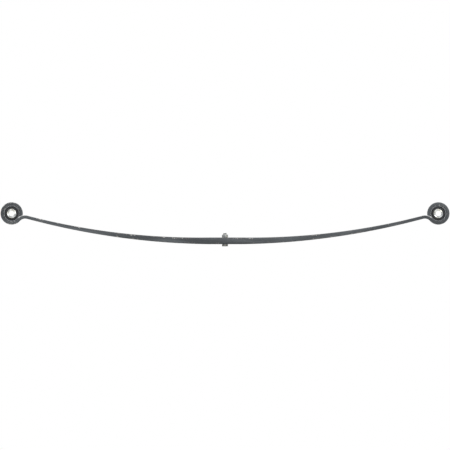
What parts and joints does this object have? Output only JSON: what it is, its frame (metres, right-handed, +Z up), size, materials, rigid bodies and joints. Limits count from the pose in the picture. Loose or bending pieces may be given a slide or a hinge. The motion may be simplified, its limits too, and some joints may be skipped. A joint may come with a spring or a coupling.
{
  "type": "leaf spring",
  "caption": "Single tapered leaf spring, bowed upwards, with rolled eyes holding rubber bushes and a centre bolt and nut through its flat seat.",
  "frame": {"origin": "middle of the seat's underside, on the centre bolt's axis", "axes": "+X along the spring towards the front eye, +Y across its width towards the vehicle's left, +Z up, from the axle pad to the chassis"},
  "size_m": [1.263, 0.076, 0.124],
  "materials": {
    "leaf": "thin graphite-black chassis paint over shot-peened spring steel, bright where it has rubbed",
    "bolt": "zinc plated and passivated, turned head and rolled thread",
    "nut": "zinc plated, forged flats and turned chamfers",
    "outer_sleeve": "drawn steel tube, phosphated grey",
    "rubber": "moulded natural rubber, matt with a fine mould texture",
    "inner_sleeve": "cut steel tube, zinc plated, ends faced and serrated"
  },
  "bodies": {
    "spring": {"main_leaf": "leaf", "centre_bolt": "bolt", "centre_nut": "nut"},
    "front_eye": {"front_bush_outer_sleeve": "outer_sleeve", "front_bush_rubber": "rubber"},
    "front_bush_inner": {"front_bush_inner_sleeve": "inner_sleeve"},
    "rear_eye": {"rear_bush_outer_sleeve": "outer_sleeve", "rear_bush_rubber": "rubber"},
    "rear_bush_inner": {"rear_bush_inner_sleeve": "inner_sleeve"}
  },
  "joints": [
    {"name": "front_arm_flex", "type": "hinge", "parent": "spring", "child": "front_eye", "pos_m": [0.212, 0, 0.0095], "axis": [0, 1, 0], "range_deg": [-2, 15], "stiffness_Nm_per_rad": 10670, "deforming": ["main_leaf"]},
    {"name": "front_bush_twist", "type": "hinge", "parent": "front_eye", "child": "front_bush_inner", "pos_m": [0.6, 0, 0.0865], "axis": [0, 1, 0], "range_deg": [-25, 25], "stiffness_Nm_per_rad": 160},
    {"name": "rear_arm_flex", "type": "hinge", "parent": "spring", "child": "rear_eye", "pos_m": [-0.212, 0, 0.0095], "axis": [0, -1, 0], "range_deg": [-2, 15], "stiffness_Nm_per_rad": 10670, "deforming": ["main_leaf"]},
    {"name": "rear_bush_twist", "type": "hinge", "parent": "rear_eye", "child": "rear_bush_inner", "pos_m": [-0.6, 0, 0.0865], "axis": [0, 1, 0], "range_deg": [-25, 25], "stiffness_Nm_per_rad": 160}
  ]
}
